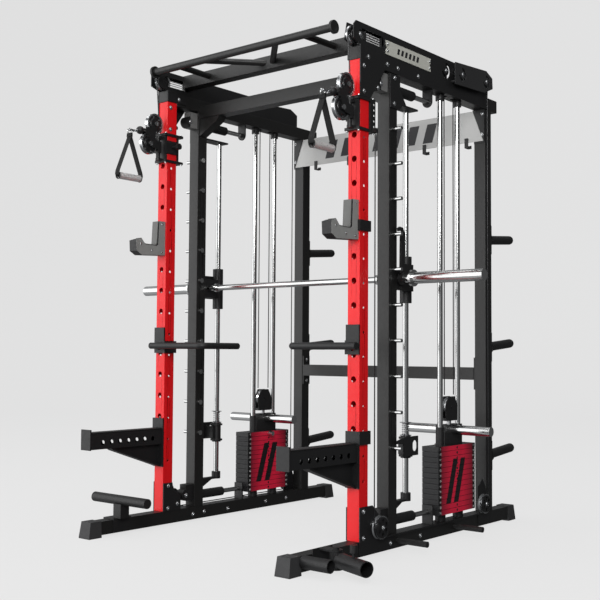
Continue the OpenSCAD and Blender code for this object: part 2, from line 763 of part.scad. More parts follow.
// Lifting head of a stack: head plate, selector stem, plate horns, bushes and the pulley fork
module stack_head() difference() {
  z = stack_top;
  union() {
    stack_block(z, head_t);
    round_z(stack_z0 + 4, z, side_x, stack_y, 9);
    round_z(z + head_t, 520, side_x, stack_y, 10);
    for (y = stack_rod_y) {
      round_z(z + head_t, 490, side_x, y, 18);
    }
    box([side_x - 24, stack_rod_y[0], z + head_t - 1], [side_x + 24, stack_rod_y[1], 500]);
    round_x(side_x - 218, side_x + 218, stack_y, horn_z, 22);
    box([side_x - 15, stack_y - 46, 517], [side_x + 15, stack_y + 46, 529]);
    for (x = [side_x - 15, side_x + 10.5]) {
      plate_x(x, 4.5, [[stack_y - 47, 517], [stack_y - 52, 584], [stack_y - 27, 628], [stack_y + 27, 628],
        [stack_y + 52, 584], [stack_y + 47, 517]]);
    }
    round_x(side_x - 18, side_x + 18, stack_y, head_pulley[2], axle_r);
  }
  for (y = stack_rod_y) {
    round_z(z - 1, 501, side_x, y, rod_r + run);
  }
  for (y = [stack_y - groove_r(head_pulley), stack_y + groove_r(head_pulley)]) {
    round_z(z - 1, 530, side_x, y, cable_r + 1);
  }
  round_x(side_x - stack_w, side_x - 6, stack_y, z + head_t / 2, 4.5 + run);
}
module right_stack_head() placed("#2a2a2c") stack_head();
module left_stack_head() placed("#2a2a2c") left() stack_head();
module selector_pin() {
  face = side_x - stack_w / 2;
  z = stack_top + head_t / 2;
  round_x(face - 1, side_x - 7, stack_y, z, 4.5);
  round_x(face - 8, face - 1, stack_y, z, 9);
  round_x(face - 30, face - 8, stack_y, z, 12);
}
module right_selector_pin() placed("#c4c6c9") selector_pin();
module left_selector_pin() placed("#c4c6c9") left() selector_pin();

// Height-adjustable trolley on a front upright
module trolley() {
  x0 = in_x - 7;
  x1 = out_x + 7;
  difference() {
    union() {
      for (z = [trolley_z[0] - 6, trolley_z[1] - 6]) {
        box([x0, -18, z], [x1, 98, z + 12]);
      }
      box([in_x, -9, trolley_z[0]], [out_x, -1, trolley_z[1]]);
      box([x0, -9, trolley_z[0] + 36], [in_x - 1, tube + 2, trolley_z[1] - 30]);
      box([out_x + 1, tube + 2, trolley_z[0]], [x1, 78, trolley_z[1]]);
      box([x1 - 3, 78, trolley_z[0]], [x1, 98, trolley_z[1]]);
      for (x = [x0 + 7, x1 - 7], y = [-11, 89]) {
        round_z(trolley_z[0] - 11, trolley_z[0], x, y, 5);
        round_z(trolley_z[1], trolley_z[1] + 11, x, y, 5);
      }
      box([x0, tube + 1, trolley_z[0]], [x1, tube + 8, trolley_z[1]]);
      box([out_x + 2, 76, trolley_z[0] - 6], [side_pulley_x + 8, 94, lug_top]);
    }
    round_z(trolley_z[0] - 10, trolley_z[0] + 20, side_pulley_x, low_front[1] - groove_r(low_front), 3.2);
    box([in_x - 1, -1, trolley_z[0] - 10], [out_x + 1, tube + 1, trolley_z[1] + 10]);
    for (k = [-2 : 2]) {
      round_x(out_x, x1 + 1, 88, 1806 + k * 23, 5);
    }
    round_x(x0 - 1, in_x, 29, 1808, 5.5);
  }
  for (z = [trolley_z[0], 1846]) {
    difference() {
      union() {
        round_z(z, z + 12, side_x, swivel_y, 12);
        box([side_x - 12, swivel_y, z], [side_x + 12, -9, z + 12]);
      }
      round_z(z - 1, z + 13, side_x, swivel_y, 5);
    }
  }
  round_z(trolley_z[0], 1858, side_x, swivel_y, 5);
  round_x(x0 - 34, x0, 29, 1808, 8);
  round_x(x0 - 48, x0 - 34, 29, 1808, 15);
}
module right_trolley() placed("#161617") trolley();
module left_trolley() placed("#161617") left() trolley();

function arc(p, r, from, to) = [for (a = [from : 10 : to]) [p[1] + r * cos(a), p[2] + r * sin(a)]];
// Side plate of the arm: round both axles, with a nose for the cable's end and a tail to the barrel
module arm_plate(x) {
  u = upper_pulley;
  l = lower_pulley;
  cheek = 14;
  tail = [[swivel_y + 2, l[2] - 26], [swivel_y + 2, l[2] + 14], [swivel_y - 30, l[2] + 26],
    [swivel_y - 30, u[2] - 46]];
  nose = [[-92, u[2] - 26], [-122, u[2] - 26], [-122, u[2] - 60], [-108, u[2] - 60]];
  plate_x(x, 3.5, concat(tail, arc(u, cheek, -50, 200), nose, arc(l, cheek, 115, 275)));
}
module swivel_arm() {
  u = upper_pulley;
  l = lower_pulley;
  difference() {
    round_z(1752.5, 1845.5, side_x, swivel_y, 10);
    round_z(1752, 1846, side_x, swivel_y, 5 + run);
  }
  difference() {
    box([side_x - 16, swivel_y - 10, 1776], [side_x + 16, swivel_y + 8, 1830]);
    round_z(1770, 1840, side_x, swivel_y, 9);
  }
  arm_plate(side_x - 15);
  arm_plate(side_x + 11.5);
  for (p = [u, l]) {
    round_x(side_x - 20, side_x + 20, p[1], p[2], axle_r);
    round_x(side_x + 15, side_x + 20, p[1], p[2], 11);
    round_x(side_x - 20, side_x - 15, p[1], p[2], 11);
  }
  round_x(side_x - 14, side_x + 14, -114, ball_at[1] + 2, 5);
  cable([side_x, ball_at[0], u[2] - groove_r(u)], on_turn(side_x, u, 270));
  turn_x(side_x, u, 270, 90 + leave);
  cable(on_turn(side_x, u, leave), [side_x, swivel_y, feed_z]);
  translate([side_x, ball_at[0], ball_at[1]]) sphere(r = 19);
  rod([side_x, ball_at[0], ball_at[1]], [side_x, ring_at[0] + 30, link_z], 6);
  for (x = [side_x - 7.5, side_x + 4.5]) {
    box([x, ring_at[0] - 4, link_z - 4], [x + 3, ring_at[0] + 34, link_z + 4]);
  }
  round_x(side_x - 9, side_x + 9, ring_at[0], link_z, 3);
  round_x(side_x - 9, side_x + 9, ring_at[0] + 30, link_z, 3.5);
}
module right_swivel_arm() placed("#161617") swivel_arm();
module left_swivel_arm() placed("#161617") left() swivel_arm();

// D-shaped handle: ring, two straps and a grip
grip_l = 126;
grip_z = 1636;
strap_lean = 17.5;
module strap(dir) {
  rotate([dir * strap_lean, 0, 0]) box([-15, -1.5, -214], [15, 1.5, -ring_r]);
}
module handle() {
  translate([side_x, ring_at[0], ring_at[1]]) {
    rotate([0, 90, 0]) rotate_extrude() translate([ring_r, 0]) circle(r = 2.6);
    for (d = [-1, 1]) {
      strap(d);
    }
  }
  round_y(ring_at[0] - grip_l / 2, ring_at[0] + grip_l / 2, side_x, grip_z, 16);
  for (d = [-1, 1]) {
    y = ring_at[0] + d * (grip_l / 2 + 5);
    round_y(y - 5, y + 5, side_x, grip_z, 20);
  }
}
module right_handle() placed("#b4b6b9") handle();
module left_handle() placed("#b4b6b9") left() handle();

// Grooved pulley on a plain bush
module pulley(x, p, t = pulley_t) {
  s = t / 2;
  r = p[0];
  translate([x, p[1], p[2]]) rotate([0, 90, 0]) difference() {
    rotate_extrude() polygon([[axle_r + run, -s], [r * 0.55, -s], [r * 0.6, 3 - s],
      [r - 9, 3 - s], [r - 8, -s], [r, -s],
      [r - groove, -2], [r - groove, 2], [r, s], [r - 8, s], [r - 9, s - 3], [r * 0.6, s - 3], [r * 0.55, s],
      [axle_r + run, s]]);
    for (a = [15 : 60 : 315]) {
      rotate([0, 0, a]) translate([0.8 * r - 4.5, 0, -s - 1]) cylinder(h = t + 2, r = 0.2 * r - 4.8);
    }
  }
}
module right_upper_pulley() placed("#8c8e92") pulley(side_x, upper_pulley);
module left_upper_pulley() placed("#8c8e92") left() pulley(side_x, upper_pulley);
module right_lower_pulley() placed("#8c8e92") pulley(side_x, lower_pulley);
module left_lower_pulley() placed("#8c8e92") left() pulley(side_x, lower_pulley);
module right_head_pulley() placed("#8c8e92") pulley(side_x, head_pulley);
module left_head_pulley() placed("#8c8e92") left() pulley(side_x, head_pulley);
module top_front_pulleys() placed("#8c8e92") both() pulley(top_x, front_pulley);
module top_middle_pulleys() placed("#8c8e92") both() pulley(top_x, middle_pulley);
module top_stack_pulleys() placed("#8c8e92") both() pulley(side_pulley_x, stack_pulley);
module top_rear_pulleys() placed("#8c8e92") both() pulley(side_pulley_x, rear_pulley);
module low_front_pulleys() placed("#8c8e92") both() pulley(side_pulley_x, low_front);
module low_rear_pulleys() placed("#8c8e92") both() pulley(side_pulley_x, low_rear);

base_rails();
foot_pads();
front_uprights();
middle_uprights();
rear_uprights();
top_side_beams();
side_plates();
crossmembers();
pull_up_bar();
sign_panels();
header_brackets();
guide_rods();
rod_brackets();
hook_pegs();
storage_pegs();
foot_roller();
landmine_bracket();
weight_plates();
stack_supports();
tension_shafts();
frame_bolts();
cables();
carriages();
smith_bar();
bar_hooks();
left_bar_sleeve();
right_bar_sleeve();
left_safety_stop();
right_safety_stop();
left_stop_spring();
right_stop_spring();
left_j_hook();
right_j_hook();
left_dip_bar();
right_dip_bar();
left_safety_arm();
right_safety_arm();
landmine_tube();
left_stack_head();
right_stack_head();
left_head_pulley();
right_head_pulley();
left_selector_pin();
right_selector_pin();
left_trolley();
right_trolley();
left_swivel_arm();
right_swivel_arm();
left_upper_pulley();
right_upper_pulley();
left_lower_pulley();
right_lower_pulley();
left_handle();
right_handle();
top_front_pulleys();
top_middle_pulleys();
top_stack_pulleys();
top_rear_pulleys();
low_front_pulleys();
low_rear_pulleys();
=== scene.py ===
"""Looks of a cable-and-barbell training rack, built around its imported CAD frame. Metres."""

import math

import bmesh
import bpy
from mathutils import Matrix, Quaternion, Vector


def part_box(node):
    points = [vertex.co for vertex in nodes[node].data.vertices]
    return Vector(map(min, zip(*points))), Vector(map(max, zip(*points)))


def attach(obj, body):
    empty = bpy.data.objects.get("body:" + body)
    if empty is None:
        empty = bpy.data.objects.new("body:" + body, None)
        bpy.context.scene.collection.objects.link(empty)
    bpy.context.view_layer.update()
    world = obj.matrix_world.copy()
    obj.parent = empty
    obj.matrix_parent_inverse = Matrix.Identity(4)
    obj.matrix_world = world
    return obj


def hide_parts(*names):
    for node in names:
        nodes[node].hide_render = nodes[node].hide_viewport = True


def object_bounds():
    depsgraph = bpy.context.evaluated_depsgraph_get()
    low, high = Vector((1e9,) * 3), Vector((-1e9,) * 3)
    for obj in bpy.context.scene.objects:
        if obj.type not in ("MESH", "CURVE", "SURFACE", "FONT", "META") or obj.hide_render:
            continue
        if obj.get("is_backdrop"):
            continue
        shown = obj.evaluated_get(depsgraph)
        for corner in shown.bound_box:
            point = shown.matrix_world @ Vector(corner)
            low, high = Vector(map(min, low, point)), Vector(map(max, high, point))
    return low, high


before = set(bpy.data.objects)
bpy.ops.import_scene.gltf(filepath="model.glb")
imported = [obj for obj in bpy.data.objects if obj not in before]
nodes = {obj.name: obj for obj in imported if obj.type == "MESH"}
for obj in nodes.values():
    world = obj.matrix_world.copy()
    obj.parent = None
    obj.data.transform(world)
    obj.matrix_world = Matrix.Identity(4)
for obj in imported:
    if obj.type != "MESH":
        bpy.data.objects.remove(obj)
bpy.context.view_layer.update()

MM = 0.001
SIDES = (("left", -1), ("right", 1))
LR = [side for side, _ in SIDES]
UP, X_AXIS = Vector((0, 0, 1)), Vector((1, 0, 0))

# Places that the part's source names, in the frame's own metres.
SIDE_X = 0.573           # middle of each side frame's tubes, from the middle of the rack
FRONT_Y = -0.456         # front face of the front uprights
HOOK_PIN_Z = 1.418       # locating pins of the bar hooks
ARM_PIN_Z = 0.418        # locating pins of the safety arms
HORN_Z = 0.476           # middle of the stack heads' plate horns, at rest


# ---------------------------------------------------------------- materials

class Look:
    """A Principled material with short calls for its nodes. Textures use the part's own coordinates."""

    def __init__(self, name, color, rough, metallic=0.0, **sockets):
        self.mat = bpy.data.materials.new(name)
        self.mat.use_nodes = True
        self.tree = self.mat.node_tree
        self.shader = self.tree.nodes["Principled BSDF"]
        self.shader.inputs["Base Color"].default_value = (*color, 1)
        self.shader.inputs["Roughness"].default_value = rough
        self.shader.inputs["Metallic"].default_value = metallic
        for key, value in sockets.items():
            self.shader.inputs[key.replace("_", " ")].default_value = value
        self.color, self.rough = color, rough
        self.coords = self.add("ShaderNodeTexCoord").outputs["Object"]

    def add(self, kind, links=None, **settings):
        node = self.tree.nodes.new(kind)
        for key, value in settings.items():
            setattr(node, key, value)
        for key, value in (links or {}).items():
            self.feed(value, node.inputs[key])
        return node

    def feed(self, value, socket):
        if isinstance(value, bpy.types.NodeSocket):
            self.tree.links.new(value, socket)
        else:
            socket.default_value = value

    def math(self, operation, *values):
        links = dict(enumerate(values))
        return self.add("ShaderNodeMath", links, operation=operation).outputs[0]

    def axes(self):
        return self.add("ShaderNodeSeparateXYZ", {0: self.coords}).outputs

    def noise(self, scale, detail=2.0, stretch=(1, 1, 1)):
        placed = self.add("ShaderNodeMapping", {"Vector": self.coords, "Scale": stretch}).outputs[0]
        links = {"Vector": placed, "Scale": scale, "Detail": detail}
        return self.add("ShaderNodeTexNoise", links).outputs[0]

    def spread(self, value, low, high, start=0.3, end=0.7):
        links = {0: value, 1: start, 2: end, 3: low, 4: high}
        return self.add("ShaderNodeMapRange", links).outputs[0]

    def mix(self, factor, a, b):
        node = self.add("ShaderNodeMix", data_type="RGBA")
        self.feed(factor, node.inputs[0])
        for socket, value in ((node.inputs[6], a), (node.inputs[7], b)):
            self.feed(value if isinstance(value, bpy.types.NodeSocket) else (*value, 1), socket)
        return node.outputs[2]

    def tint(self, value, amount):
        """Colour that drifts by amount either side of the base colour."""
        low = [c * (1 - amount) for c in self.color]
        high = [min(1, c * (1 + amount)) for c in self.color]
        return self.mix(value, low, high)

    def set(self, socket, value):
        self.feed(value, self.shader.inputs[socket])
        return self

    def bump(self, height, depth, strength=1.0):
        links = {"Height": height, "Distance": depth, "Strength": strength}
        return self.set("Normal", self.add("ShaderNodeBump", links).outputs[0])


def powder_coat(name, color, rough, depth=0.12 * MM, drift=0.12):
    look = Look(name, color, rough, Specular_IOR_Level=0.45)
    look.set("Base Color", look.tint(look.noise(9, 3), drift))
    look.set("Roughness", look.spread(look.noise(120), rough - 0.06, rough + 0.08))
    return look.bump(look.noise(900, 1), depth).mat


def polished(name, color, rough, streaks=(1, 1, 1)):
    look = Look(name, color, rough, 1.0)
    look.set("Roughness", look.spread(look.noise(60, 3, streaks), rough * 0.7, rough * 1.5))
    look.set("Base Color", look.tint(look.noise(14, 2), 0.06))
    return look.bump(look.noise(700, 2, streaks), 0.01 * MM).mat


def moulded(name, color, rough, grain=700, depth=0.1 * MM):
    look = Look(name, color, rough)
    look.set("Base Color", look.tint(look.noise(30, 3), 0.2))
    look.set("Roughness", look.spread(look.noise(200), rough - 0.08, rough + 0.08))
    return look.bump(look.noise(grain, 3), depth).mat


def slanted_bars(look, u, v, count, pitch, width, half_height, slant=0.3):
    """Mask of a generic mark: a row of slanted bars round the middle of u and v."""
    s = look.math("MULTIPLY_ADD", v, -slant, u)
    along = look.math("ADD", look.math("DIVIDE", s, pitch), count / 2)
    in_bar = look.math("LESS_THAN", look.math("FRACT", along), width / pitch)
    in_row = look.math("LESS_THAN", look.math("ABSOLUTE", s), count * pitch / 2)
    in_height = look.math("LESS_THAN", look.math("ABSOLUTE", v), half_height)
    return look.math("MULTIPLY", look.math("MULTIPLY", in_bar, in_row), in_height)


black_coat = powder_coat("black_coat", (0.013, 0.013, 0.0125), 0.38)
plate_coat = powder_coat("plate_coat", (0.012, 0.012, 0.0125), 0.46)
# The same black coat made lighter for the rear lap plates' outer faces: painted light.
lap_plate_painted_light = powder_coat("lap_plate_painted_light", (0.030, 0.030, 0.031), 0.46)
hook_grey = moulded("hook_grey", (0.30, 0.30, 0.29), 0.40)
# Near-white colour for the stretch of black cable seen through each top plate's slot: a painted highlight.
cable_painted_highlight = moulded("cable_painted_highlight", (0.88, 0.88, 0.87), 0.30)
spring_wire = polished("spring_wire", (0.34, 0.34, 0.35), 0.30)
red_coat = powder_coat("red_coat", (0.90, 0.006, 0.010), 0.38, drift=0.05)
grey_coat = moulded("grey_coat", (0.20, 0.20, 0.196), 0.42)
chrome = polished("chrome", (0.60, 0.605, 0.60), 0.13, (1, 1, 0.1))
steel = polished("zinc_steel", (0.58, 0.59, 0.60), 0.26)
rim_metal = polished("rim_metal", (0.52, 0.53, 0.54), 0.22)
foot_rubber = moulded("foot_rubber", (0.040, 0.040, 0.041), 0.62)
sleeve_rubber = moulded("sleeve_rubber", (0.013, 0.013, 0.013), 0.52)
liner = moulded("liner", (0.12, 0.12, 0.115), 0.40)
nylon = moulded("pulley_nylon", (0.012, 0.012, 0.013), 0.34)
jacket = moulded("cable_jacket", (0.010, 0.010, 0.011), 0.22, 300, 0.03 * MM)
stack_paint = moulded("stack_paint", (0.014, 0.014, 0.015), 0.60, 500, 0.25 * MM)
ink = moulded("white_ink", (0.82, 0.82, 0.80), 0.45, 300, 0.02 * MM)


HEADER_MIDDLE_Z = (1862 + 2014) / 2 * MM
BADGE_MIDDLE_Y, BADGE_MIDDLE_Z = (174 + 524) / 2 * MM + FRONT_Y, 2117 * MM


def header_sheet(name, mark_size):
    """Brushed aluminium with a row of dark slanted bars as a generic mark."""
    look = Look(name, (0.50, 0.50, 0.49) if mark_size == "header" else (0.80, 0.80, 0.72), 0.42, 0.3)
    x, y, z = look.axes()
    if mark_size == "header":
        v = look.math("SUBTRACT", z, HEADER_MIDDLE_Z)
        mark = slanted_bars(look, x, v, 7, 0.105, 0.058, 0.048)
        grain = look.noise(260, 2, (0.05, 1, 4))
    else:
        u, v = look.math("SUBTRACT", y, BADGE_MIDDLE_Y), look.math("SUBTRACT", z, BADGE_MIDDLE_Z)
        mark = slanted_bars(look, u, v, 6, 0.030, 0.017, 0.013)
        grain = look.noise(260, 2, (1, 0.05, 4))
    shade = look.tint(grain, 0.12)
    look.set("Base Color", look.mix(mark, shade, (0.03, 0.03, 0.032)))
    look.set("Roughness", look.spread(grain, 0.40, 0.58))
    return look.bump(grain, 0.03 * MM).mat


def label_print():
    """Crimson stack label that darkens to both edges, with a generic mark of two slanted bars."""
    low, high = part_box("weight_plates")
    middle_y, middle_z = (low.y + high.y) / 2, (low.z + high.z) / 2 + 0.005
    half = (high.y - low.y) / 2
    look = Look("label_print", (0.86, 0.010, 0.055), 0.40, Coat_Weight=0.2, Coat_Roughness=0.2)
    _, y, z = look.axes()
    u, v = look.math("SUBTRACT", y, middle_y), look.math("SUBTRACT", z, middle_z)
    edge = look.spread(look.math("ABSOLUTE", u), 0, 1, half * 0.35, half * 0.92)
    field = look.mix(edge, look.tint(look.noise(20, 2), 0.06), (0.20, 0.004, 0.020))
    mark = slanted_bars(look, u, v, 2, 0.066, 0.040, 0.098, 0.32)
    printed = look.mix(mark, field, (0.006, 0.006, 0.007))
    column = look.math("GREATER_THAN", look.math("ABSOLUTE", u), half - 24 * MM)
    look.set("Base Color", look.mix(column, printed, (0.007, 0.007, 0.008)))
    return look.bump(look.noise(500, 1), 0.02 * MM).mat


def webbing():
    """Black woven strap: fine ribs along the strap crossed by the weft, with painted shade in the weave's
    hollows.
    """
    look = Look("webbing", (0.010, 0.010, 0.010), 0.72, Specular_IOR_Level=0.3)
    x, _, z = look.axes()
    warp = look.math("SINE", look.math("MULTIPLY", x, math.tau / (2.2 * MM)))
    weft = look.math("SINE", look.math("MULTIPLY", z, math.tau / (1.6 * MM)))
    weave = look.math("MULTIPLY_ADD", look.math("MULTIPLY", warp, weft), 0.5, 0.5)
    # Base colour darker in the weave's hollows and lighter on its raised threads: painted shade.
    look.set("Base Color", look.tint(weave, 0.35))
    return look.bump(weave, 0.25 * MM).mat


def knurled(center):
    """Aluminium with a diamond knurl round an axis along Y through center, with painted shade in the knurl's
    grooves.
    """
    look = Look("knurled_grip", (0.80, 0.79, 0.78), 0.42, 0.45)
    x, y, z = look.axes()
    across = look.math("SUBTRACT", look.math("ABSOLUTE", x), center.x)
    turn = look.math("ARCTAN2", look.math("SUBTRACT", z, center.z), across)
    along, around = look.math("MULTIPLY", y, math.tau / (2.4 * MM)), look.math("MULTIPLY", turn, 36)
    one, two = look.math("ADD", along, around), look.math("SUBTRACT", along, around)
    diamonds = look.math("MULTIPLY", look.math("SINE", one), look.math("SINE", two))
    # Base colour darker in the knurl's grooves and lighter on its peaks: painted shade.
    look.set("Base Color", look.tint(look.math("MULTIPLY_ADD", diamonds, 0.5, 0.5), 0.18))
    look.set("Roughness", look.spread(look.noise(200), 0.25, 0.4))
    return look.bump(diamonds, 0.3 * MM).mat


# ---------------------------------------------------------------- mesh helpers

def shading_group():
    """Geometry nodes that weld a CAD node's split corners and mark its sharp edges."""
    group = bpy.data.node_groups.new("weld_and_mark", "GeometryNodeTree")
    group.interface.new_socket("Geometry", in_out="INPUT", socket_type="NodeSocketGeometry")
    group.interface.new_socket("Geometry", in_out="OUTPUT", socket_type="NodeSocketGeometry")
    make, link = group.nodes.new, group.links.new
    start, end = make("NodeGroupInput"), make("NodeGroupOutput")
    strip = make("GeometryNodeRemoveAttribute")
    strip.inputs["Name"].default_value = "custom_normal"
    weld = make("GeometryNodeMergeByDistance")
    weld.inputs["Distance"].default_value = 0.002 * MM
    angle, sharp = make("GeometryNodeInputMeshEdgeAngle"), make("FunctionNodeCompare")
    sharp.data_type, sharp.operation = "FLOAT", "GREATER_THAN"
    sharp.inputs[1].default_value = math.radians(35)
    smooth, mark = make("GeometryNodeSetShadeSmooth"), make("GeometryNodeSetShadeSmooth")
    mark.domain = "EDGE"
    mark.inputs["Shade Smooth"].default_value = False
    link(start.outputs[0], strip.inputs[0])
    link(strip.outputs[0], weld.inputs[0])
    link(weld.outputs[0], smooth.inputs[0])
    link(smooth.outputs[0], mark.inputs[0])
    link(angle.outputs[0], sharp.inputs[0])
    link(sharp.outputs[0], mark.inputs["Selection"])
    link(mark.outputs[0], end.inputs[0])
    return group


SHADING = shading_group()


def soften(obj, width, segments=2):
    """Small rounded edges, with flat faces kept flat."""
    bevel = obj.modifiers.new("edges", "BEVEL")
    bevel.width, bevel.segments = width, segments
    bevel.limit_method, bevel.angle_limit = "ANGLE", math.radians(40)
    bevel.use_clamp_overlap = True
    flat = obj.modifiers.new("flats", "WEIGHTED_NORMAL")
    flat.keep_sharp = False
    return obj


def dress(names, mat, edge=0.8 * MM):
    """Gives CAD nodes their material, welded corners and softened edges."""
    for name in names:
        obj = nodes[name]
        obj.data.materials.clear()
        obj.data.materials.append(mat)
        obj.modifiers.new("weld", "NODES").node_group = SHADING
        if edge:
            soften(obj, edge)


def zone(name, mat, chosen):
    """A second material on the faces of a CAD node whose middle passes the test."""
    obj = nodes[name]
    obj.data.materials.append(mat)
    index = len(obj.data.materials) - 1
    for face in obj.data.polygons:
        if chosen(face.center):
            face.material_index = index


def piece(name, bm, mats, body, smooth=True):
    mesh = bpy.data.meshes.new(name)
    bmesh.ops.recalc_face_normals(bm, faces=bm.faces)
    bm.to_mesh(mesh)
    bm.free()
    for mat in mats if isinstance(mats, (list, tuple)) else [mats]:
        mesh.materials.append(mat)
    obj = bpy.data.objects.new(name, mesh)
    bpy.context.scene.collection.objects.link(obj)
    if smooth:
        mesh.shade_smooth()
        mesh.set_sharp_from_angle(angle=math.radians(35))
    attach(obj, body)
    return obj


def ring_of(bm, points):
    return [bm.verts.new(p) for p in points]


def bridge(bm, a, b, closed=True):
    count = len(a)
    for i in range(count if closed else count - 1):
        j = (i + 1) % count
        bm.faces.new((a[i], a[j], b[j], b[i]))


def lathe(bm, profile, place, steps=32):
    """Turns (radius, height) points round the Z axis of the placement matrix."""
    rings = []
    turns = [math.tau * k / steps for k in range(steps)]
    for radius, height in profile:
        points = [place @ Vector((radius * math.cos(t), radius * math.sin(t), height)) for t in turns]
        rings.append(ring_of(bm, points))
    for a, b in zip(rings, rings[1:]):
        bridge(bm, a, b)
    return rings


def closed_lathe(bm, profile, place, steps=32):
    rings = lathe(bm, profile, place, steps)
    bridge(bm, rings[-1], rings[0])


def along(axis, at):
    """Placement whose Z points along axis."""
    return Matrix.Translation(at) @ Vector(axis).to_track_quat("Z", "Y").to_matrix().to_4x4()


def sweep(bm, path, section, side, closed=False):
    """Carries a section of (across, out) points along a path in the plane square to side."""
    rings = []
    last = len(path) - 1
    for i, p in enumerate(path):
        before = path[i - 1] if i or closed else p
        after = path[(i + 1) % len(path)] if i < last or closed else p
        out = side.cross((after - before).normalized())
        rings.append(ring_of(bm, [p + side * u + out * v for u, v in section]))
    for a, b in zip(rings, rings[1:]):
        bridge(bm, a, b)
    if closed:
        bridge(bm, rings[-1], rings[0])
    else:
        bm.faces.new(rings[0])
        bm.faces.new(rings[-1][::-1])


def rounded_section(width, thick, radius, steps=4):
    """Rectangle with rounded corners as (across, out) points."""
    points = []
    for cx, cy, start in ((1, 1, 0), (-1, 1, 90), (-1, -1, 180), (1, -1, 270)):
        for k in range(steps + 1):
            a = math.radians(start + 90 * k / steps)
            points.append((cx * (width / 2 - radius) + radius * math.cos(a),
                           cy * (thick / 2 - radius) + radius * math.sin(a)))
    return points


def smooth_path(points, radius, steps=6):
    """Rounds the corners of a polyline with arcs of about the given radius."""
    path = [points[0]]
    for before, at, after in zip(points, points[1:], points[2:]):
        a, b = (before - at), (after - at)
        reach = min(radius, a.length * 0.45, b.length * 0.45)
        p, q = at + a.normalized() * reach, at + b.normalized() * reach
        for k in range(steps + 1):
            t = k / steps
            path.append(p.lerp(at, t).lerp(at.lerp(q, t), t))
    return path + [points[-1]]


# ---------------------------------------------------------------- CAD nodes

def pair(*stems):
    return [f"{side}_{stem}" for stem in stems for side in LR]


dress(["base_rails", "middle_uprights", "rear_uprights", "top_side_beams", "crossmembers"],
      black_coat, 1.6 * MM)
dress(["front_uprights"], red_coat, 1.4 * MM)
dress(["side_plates", "header_brackets", "rod_brackets", "landmine_bracket", "stack_supports", "foot_roller",
       "carriages", "bar_hooks", "landmine_tube"], plate_coat)
dress(["pull_up_bar"], black_coat)
dress(pair("safety_stop", "dip_bar", "safety_arm", "trolley", "swivel_arm", "stack_head"), plate_coat)
dress(pair("j_hook"), plate_coat, 1.5 * MM)
dress(["guide_rods", "hook_pegs", "smith_bar"] + pair("bar_sleeve"), chrome, 0.6 * MM)
dress(["foot_pads"], foot_rubber, 1.5 * MM)
dress(["storage_pegs"], sleeve_rubber)
dress(["weight_plates"], stack_paint, 1.2 * MM)
dress(["cables"], jacket, 0)
dress(["tension_shafts"], chrome, 0.6 * MM)
dress(["frame_bolts"] + pair("selector_pin", "stop_spring"), steel, 0.5 * MM)
dress(["sign_panels"], header_sheet("header_sheet", "header"), 0.5 * MM)
dress(pair("handle"), steel, 0)

PULLEYS = ["top_front_pulleys", "top_middle_pulleys", "top_stack_pulleys", "top_rear_pulleys",
           "low_front_pulleys", "low_rear_pulleys"] + pair("upper_pulley", "lower_pulley", "head_pulley")
RIM_DEPTH = 8.5 * MM     # depth of a pulley's bright rim
dress(PULLEYS, nylon, 0.4 * MM)
for name in PULLEYS:
    low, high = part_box(name)
    hub, radius = (low + high) / 2, (high.z - low.z) / 2
    rim = radius - RIM_DEPTH
    zone(name, rim_metal, lambda c: math.hypot(c.y - hub.y, c.z - hub.z) > rim)

SHAFT_SLEEVE_R = 22 * MM  # radius of the dark sleeves on the tension shafts
shaft_low, shaft_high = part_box("tension_shafts")
shaft_axes = [shaft_low.z + SHAFT_SLEEVE_R, shaft_high.z - SHAFT_SLEEVE_R]
shaft_x = shaft_high.x - SHAFT_SLEEVE_R
zone("tension_shafts", plate_coat, lambda c: min(
    math.hypot(abs(c.x) - shaft_x, c.z - z) for z in shaft_axes) > SHAFT_SLEEVE_R / 2 + 1 * MM)


def off_side(c):
    """How far a point is from the middle plane of its side frame."""
    return abs(abs(c.x) - SIDE_X)


def inside(spans, c):
    """Whether a point lies within a span along Y and a span along Z."""
    (y0, y1), (z0, z1) = spans
    return y0 < c.y < y1 and z0 < c.z < z1


BADGE_END_Y = 0.2                                   # the header is behind this, the badges in front
ROLLER_Z = 0.1325                                   # just under the leg roller's sleeve
# Grey block in front of each middle upright: half its width, then its spans along Y and Z.
EAR_HALF, EAR_SPANS = 0.024, ((-0.297, -0.247), (1.932, 2.0105))
LAP_X, LAP_Y, LAP_Z = 0.612, 0.246, 1.85            # the rear lap plates lie outside, behind and above these
# Painted highlight on the black cables behind each top plate's slot: place and half width along X, then
# spans along Y and Z.
SLOT_RUN_X, SLOT_RUN_HALF = 0.590, 0.004
SLOT_RUN_SPANS = ((-0.418, -0.304), (2.114, 2.152))
zone("sign_panels", header_sheet("badge_sheet", "badge"), lambda c: c.y < BADGE_END_Y)
zone("foot_roller", sleeve_rubber, lambda c: c.z > ROLLER_Z)
zone("side_plates", grey_coat, lambda c: off_side(c) < EAR_HALF and inside(EAR_SPANS, c))
# The rear lap plates' outer faces get the lighter black: painted light.
zone("side_plates", lap_plate_painted_light, lambda c: abs(c.x) > LAP_X and c.y > LAP_Y and c.z > LAP_Z)
zone("cables", cable_painted_highlight,
     lambda c: abs(abs(c.x) - SLOT_RUN_X) < SLOT_RUN_HALF and inside(SLOT_RUN_SPANS, c))

